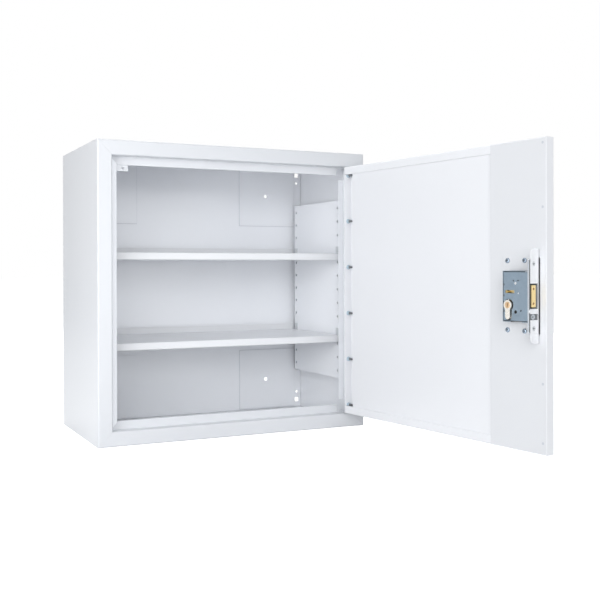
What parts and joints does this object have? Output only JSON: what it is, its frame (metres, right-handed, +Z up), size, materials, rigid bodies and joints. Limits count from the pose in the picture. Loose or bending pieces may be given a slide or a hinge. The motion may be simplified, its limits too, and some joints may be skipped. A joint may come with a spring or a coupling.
{
  "type": "lockable medicine cabinet",
  "caption": "Square steel medicine cabinet with an inset door on a piano hinge, a euro-profile deadlock, perforated side liners and lift-off shelves on clips.",
  "frame": {"origin": "centre of the casing's underside", "axes": "+Z up, -Y out of the front, +X to the hinge side; the door is stored open by 98.5 degrees"},
  "size_m": [0.644, 0.8373, 0.6],
  "materials": {
    "case_paint": "semi-matt off-white powder coat",
    "inner_paint": "semi-matt off-white powder coat",
    "door_paint": "semi-matt off-white powder coat",
    "zinc": "zinc-plated pressed steel",
    "bright_steel": "bright plated steel",
    "nickel": "satin nickel plate",
    "brass": "machined brass"
  },
  "bodies": {
    "cabinet": {"left_side": "case_paint", "right_side": "case_paint", "top_panel": "case_paint", "base_panel": "case_paint", "back_panel": "inner_paint", "wall_plate_top_left": "inner_paint", "wall_plate_top_right": "inner_paint", "wall_plate_bottom_left": "inner_paint", "wall_plate_bottom_right": "inner_paint", "left_liner": "inner_paint", "right_liner": "inner_paint", "upper_shelf_clips": "zinc", "lower_shelf_clips": "zinc", "corner_tab": "case_paint", "hinge_stop": "case_paint", "bolt_keep": "zinc", "hinge_frame_leaf": "bright_steel", "hinge_pin": "bright_steel"},
    "upper_shelf": {"upper_shelf": "case_paint"},
    "lower_shelf": {"lower_shelf": "case_paint"},
    "door": {"door_skin": "door_paint", "door_liner": "door_paint", "door_stiffener": "inner_paint", "lock_stile": "door_paint", "hinge_door_leaf": "bright_steel", "hinge_studs": "bright_steel", "hinge_washers": "bright_steel", "hinge_nuts": "bright_steel", "lock_bracket": "door_paint", "bracket_screws": "bright_steel", "lock_forend": "bright_steel", "forend_screws": "bright_steel", "lock_case": "zinc", "lock_cover": "zinc", "case_rivets": "bright_steel", "bolt_spring": "bright_steel", "cylinder_body": "nickel", "cylinder_screw": "bright_steel", "escutcheon": "nickel"},
    "cylinder_core": {"cylinder_plug": "brass", "cylinder_cam": "bright_steel", "cylinder_inner_plug": "brass"},
    "deadbolt": {"deadbolt": "brass", "bolt_pins": "bright_steel", "bolt_guide_pin": "brass"}
  },
  "joints": [
    {"name": "door_swing", "type": "hinge", "parent": "cabinet", "child": "door", "pos_m": [0.2684, -0.1533, 0.3], "axis": [0, 0, 1], "range_deg": [-98.5, 76.5]},
    {"name": "cylinder_turn", "type": "hinge", "parent": "door", "child": "cylinder_core", "pos_m": [0.30151, -0.62721, 0.284], "axis": [0.989, 0.1478, 0], "range_deg": [0, 47.16]},
    {"name": "bolt_throw", "type": "slide", "parent": "door", "child": "deadbolt", "axis": [0.1478, -0.989, 0], "range_m": [0, 0.012]},
    {"name": "upper_shelf_lift", "type": "slide", "parent": "cabinet", "child": "upper_shelf", "axis": [0, 0, 1], "range_m": [0, 0.02]},
    {"name": "lower_shelf_lift", "type": "slide", "parent": "cabinet", "child": "lower_shelf", "axis": [0, 0, 1], "range_m": [0, 0.02]}
  ],
  "couplings": [
    {"joint": "cylinder_turn", "follows": "bolt_throw", "rad_per_m": 68.58}
  ]
}
